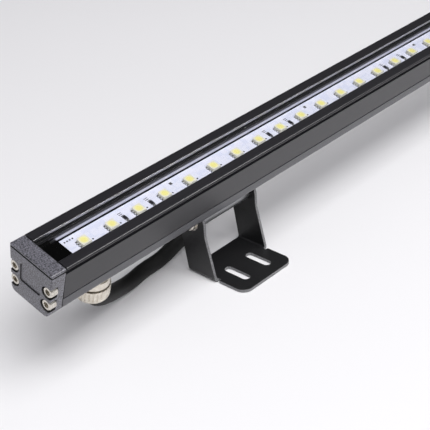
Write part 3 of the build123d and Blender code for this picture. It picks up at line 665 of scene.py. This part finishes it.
def tubeMesh(points, radius, sides):
    build = bmesh.new()
    side = Vector((1, 0, 0))
    rings = []
    for i, point in enumerate(points):
        ahead = points[min(i + 1, len(points) - 1)] - points[max(i - 1, 0)]
        ahead.normalize()
        side = (side - ahead * side.dot(ahead)).normalized()
        other = ahead.cross(side)
        ring = []
        for k in range(sides):
            turn = 2 * math.pi * k / sides
            outwards = side * math.cos(turn) + other * math.sin(turn)
            ring.append(build.verts.new(point + radius * outwards))
        rings.append(ring)
    for before, after in zip(rings, rings[1:]):
        joinRings(build, before, after)
    build.faces.new(reversed(rings[0]))
    build.faces.new(rings[-1])
    for face in build.faces:
        face.smooth = len(face.verts) == 4
    return build


def makeLead():
    points, length = evenPoints(splinePoints(leadShape["route"]), leadShape["step"])
    build = tubeMesh(points, leadShape["diameter"] / 2, leadShape["sides"])
    lead = linkMesh("powerLead", build, blackExtrudedPvc())
    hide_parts("power_lead_upper", "power_lead_lower")
    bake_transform(lead)
    print("lead made:", round(length / mm), "mm")


makeLead()

dressNodes()
print("finishes given to the construction's pieces")


# the LEDs' solder legs, with their flowed solder
ledLegs = {
    "perSide": 3,
    "spacing": 1.6 * mm,
    "width": 0.9 * mm,
    "reach": 0.5 * mm,  # out of the body
    "root": 0.05 * mm,  # inside the body
    "height": 0.5 * mm,
    "edgeCut": 0.08 * mm,
    "solderReach": 0.3 * mm,  # further out than the leg
    "solderHeight": 0.22 * mm,
    "solderSpread": 1.15,  # so many times as wide as the leg
    "solderCut": 0.15 * mm,
}


def ledPlaces():
    pitch = bar["boardLength"] / bar["ledCount"]
    return [(i + 0.5) * pitch - bar["boardLength"] / 2 for i in range(bar["ledCount"])]


def resistorPlaces():  # halfway between two LEDs
    return [place + bar["boardLength"] / bar["ledCount"] / 2 for i, place in enumerate(ledPlaces())
            if (i % bar["ledsPerUnit"]) + 1 in bar["resistorAfter"]]


# a block between two corners in the bar's frame, with its upper edges cut back
def addBlock(build, low, high, cut=0.0):
    corners = []
    for z, inset in ((low[2], 0.0), (high[2] - cut, 0.0), (high[2], cut)):
        for x, y in ((low[0] + inset, low[1] + inset), (high[0] - inset, low[1] + inset),
                     (high[0] - inset, high[1] - inset), (low[0] + inset, high[1] - inset)):
            corners.append(build.verts.new(barPlace @ Vector((x, y, z))))
    rings = [corners[i:i + 4] for i in (0, 4, 8)]
    build.faces.new(reversed(rings[0]))
    build.faces.new(rings[2])
    for lower, upper in zip(rings, rings[1:]):
        joinRings(build, lower, upper)


def makeLedLegs(solder):
    build = bmesh.new()
    half = bar["ledSize"] / 2
    for place in ledPlaces():
        for side in (-1, 1):
            inner = place + side * (half - ledLegs["root"])
            outer = place + side * (half + ledLegs["reach"])
            flowed = outer + side * ledLegs["solderReach"]
            for k in range(ledLegs["perSide"]):
                y = (k - (ledLegs["perSide"] - 1) / 2) * ledLegs["spacing"]
                wide = ledLegs["width"] / 2
                addBlock(build, (min(inner, outer), y - wide, boardFace),
                         (max(inner, outer), y + wide, boardFace + ledLegs["height"]),
                         ledLegs["edgeCut"])
                wide *= ledLegs["solderSpread"]
                addBlock(build, (min(outer, flowed), y - wide, boardFace),
                         (max(outer, flowed), y + wide, boardFace + ledLegs["solderHeight"]),
                         ledLegs["solderCut"])
    legs = linkMesh("ledLegs", build, solder, "bar")


# plain printed marks: a dot at each LED, bars at each resistor, dashes at one end; and painted
# shadow: strokes between each LED's legs on one side
marks = {
    "thickness": 0.03 * mm,
    "dotOut": 4.6 * mm,  # from the LED's middle
    "dotAcross": -1.0 * mm,
    "dotRadius": 0.45 * mm,
    "dotSides": 16,
    "legShadowsAcross": (-2.3 * mm, -0.8 * mm, 0.7 * mm),  # painted shadow, between the LED's legs
    "legShadowAlong": (-0.3 * mm, 0.25 * mm),  # from the solder's end
    "legShadowHalf": 0.2 * mm,
    "barsAcross": (3.0 * mm, 4.0 * mm),
    "barAlong": (-1.2 * mm, 0.9 * mm),  # from the resistor's middle
    "barHalf": 0.18 * mm,
    "dashCount": 4,
    "dashFrom": 1.2 * mm,  # from the board's end
    "dashPitch": 1.5 * mm,
    "dashLength": 0.75 * mm,
    "dashAcross": 4.9 * mm,
    "dashHalf": 0.4 * mm,
}


def addDot(build, x, y):
    rings = []
    for z in (boardFace, boardFace + marks["thickness"]):
        ring = []
        for k in range(marks["dotSides"]):
            turn = 2 * math.pi * k / marks["dotSides"]
            corner = Vector((x + marks["dotRadius"] * math.cos(turn),
                             y + marks["dotRadius"] * math.sin(turn), z))
            ring.append(build.verts.new(barPlace @ corner))
        rings.append(ring)
    build.faces.new(reversed(rings[0]))
    build.faces.new(rings[1])
    joinRings(build, rings[0], rings[1])


def addStroke(build, x, y, along, half):
    addBlock(build, (x + along[0], y - half, boardFace),
             (x + along[1], y + half, boardFace + marks["thickness"]))


def makeMarks(inkAndShadow):
    build = bmesh.new()
    for place in ledPlaces():
        addDot(build, place + marks["dotOut"], marks["dotAcross"])
        # painted shadow between the legs on each LED's one side
        side = place - bar["ledSize"] / 2 - ledLegs["reach"] - ledLegs["solderReach"]
        for y in marks["legShadowsAcross"]:
            addStroke(build, side, y, marks["legShadowAlong"], marks["legShadowHalf"])
    for middle in resistorPlaces():
        for y in marks["barsAcross"]:
            addStroke(build, middle, y, marks["barAlong"], marks["barHalf"])
    for k in range(marks["dashCount"]):  # along the far edge, at the lead's end
        x = marks["dashFrom"] - bar["boardLength"] / 2 + k * marks["dashPitch"]
        addStroke(build, x, marks["dashAcross"], (0, marks["dashLength"]), marks["dashHalf"])
    linkMesh("boardPrintAndLegShadows", build, inkAndShadow, "bar")


# tinned ends of the resistors and the solder under them
resistorEnds = {
    "length": 3.2 * mm,
    "width": 1.6 * mm,
    "height": 0.6 * mm,
    "cap": 0.55 * mm,
    "skin": 0.03 * mm,
    "edgeCut": 0.08 * mm,
    "solder": 0.6 * mm,
    "solderHeight": 0.27 * mm,
    "solderCut": 0.2 * mm,
}


def makeResistorEnds(solder):
    build = bmesh.new()
    skin = resistorEnds["skin"]
    half = resistorEnds["length"] / 2
    wide = resistorEnds["width"] / 2 + skin
    for middle in resistorPlaces():
        for side in (-1, 1):
            outer = side * (half + skin)
            inner = side * (half - resistorEnds["cap"])
            foot = side * (half + resistorEnds["solder"])
            addBlock(build, (middle - wide, min(inner, outer), boardFace),
                     (middle + wide, max(inner, outer), boardFace + resistorEnds["height"] + skin),
                     resistorEnds["edgeCut"])
            addBlock(build, (middle - wide, min(outer, foot), boardFace),
                     (middle + wide, max(outer, foot), boardFace + resistorEnds["solderHeight"]),
                     resistorEnds["solderCut"])
    ends = linkMesh("resistorEnds", build, solder, "bar")


solder = tinnedCopper()
makeLedLegs(solder)
makeResistorEnds(solder)
makeMarks(blackPrintAndShadow())
print("board details made")


# the pale floor and the studio's soft lamps
studio = {
    "floorTones": ("#edecee", "#f1f0f2"),
    "floorPatch": 0.4,  # how wide the paper's faint patches are
    "floorSize": 8.0,
    "floorCells": 8,
    "floorDrop": 0.2 * mm,
    "overhead": {"place": (-0.37, -0.95, 1.60), "aim": (-0.27, 0.0, 0.0),
                 "size": (1.56, 1.56), "watts": 42.0},
    "sheen": {"place": (0.70, -0.45, 1.25), "aim": (-0.2, 0.0, 0.05),
              "size": (0.4, 0.4), "watts": 14.0},
    "worldTones": ("#9a9a9d", "#1f1f21"),  # front left, and back right where the rims mirror it
    "backdropTone": "#e4e4e6",  # of the sky that the camera sees beyond the floor
    "worldTurn": (0.6, 0.8, 0.0),  # level, from front left to back right
    "worldEdge": (0.15, 0.55),  # where the tone changes, by the direction's share that way
}


def makeFloor():
    material, tree, coords = startMaterial("palePaperSweep")
    noise = addNode(tree, "ShaderNodeTexNoise", {}, {
        "Vector": coords, "Scale": perMetre(studio["floorPatch"]), "Detail": 1.0})
    ramp = addNode(tree, "ShaderNodeValToRGB", {}, {"Fac": noise.outputs["Fac"]})
    setStops(ramp, (0, 1), studio["floorTones"])
    shader = addNode(tree, "ShaderNodeBsdfDiffuse", {}, {"Color": ramp.outputs["Color"]})
    endMaterial(material, tree, shader)
    build = bmesh.new()
    cells = studio["floorCells"]
    bmesh.ops.create_grid(build, x_segments=cells, y_segments=cells, size=studio["floorSize"] / 2)
    mesh = bpy.data.meshes.new("floor")
    build.to_mesh(mesh)
    build.free()
    mesh.materials.append(material)
    floor = bpy.data.objects.new("floor", mesh)
    floor.location = (0, 0, -studio["floorDrop"])
    bpy.context.scene.collection.objects.link(floor)


def makeLamp(name, lamp):
    light = bpy.data.lights.new(name, "AREA")
    light.shape = "RECTANGLE"
    light.size, light.size_y = lamp["size"]
    light.energy = lamp["watts"]
    holder = bpy.data.objects.new(name, light)
    holder.location = lamp["place"]
    aim = Vector(lamp["aim"]) - Vector(lamp["place"])
    holder.rotation_euler = aim.to_track_quat("-Z", "Y").to_euler()
    bpy.context.scene.collection.objects.link(holder)
    return holder


def makeWorld():
    world = bpy.data.worlds.new("studio")
    bpy.context.scene.world = world
    world.use_nodes = True
    tree = world.node_tree
    tree.nodes.clear()
    around = addNode(tree, "ShaderNodeTexCoord").outputs["Generated"]
    share = addNode(tree, "ShaderNodeVectorMath", {"operation": "DOT_PRODUCT"}, {
        0: around, 1: studio["worldTurn"]})
    ramp = addNode(tree, "ShaderNodeValToRGB", {}, {"Fac": share.outputs["Value"]})
    setStops(ramp, studio["worldEdge"], studio["worldTones"])
    seen = addNode(tree, "ShaderNodeMix", {"data_type": "RGBA"}, {
        "Factor": addNode(tree, "ShaderNodeLightPath").outputs["Is Camera Ray"],
        6: ramp.outputs["Color"], 7: toLinear(studio["backdropTone"])})
    shade = addNode(tree, "ShaderNodeBackground", {}, {"Color": seen.outputs[2], "Strength": 1.0})
    addNode(tree, "ShaderNodeOutputWorld", {}, {"Surface": shade.outputs[0]})


makeFloor()
makeLamp("overheadSoftbox", studio["overhead"])
sheen = makeLamp("sheenSoftbox", studio["sheen"])
sheen.visible_diffuse = False  # it only shows mirrored, and lights no floor
makeWorld()
bpy.context.scene.view_settings.view_transform = "Standard"
print("studio made")
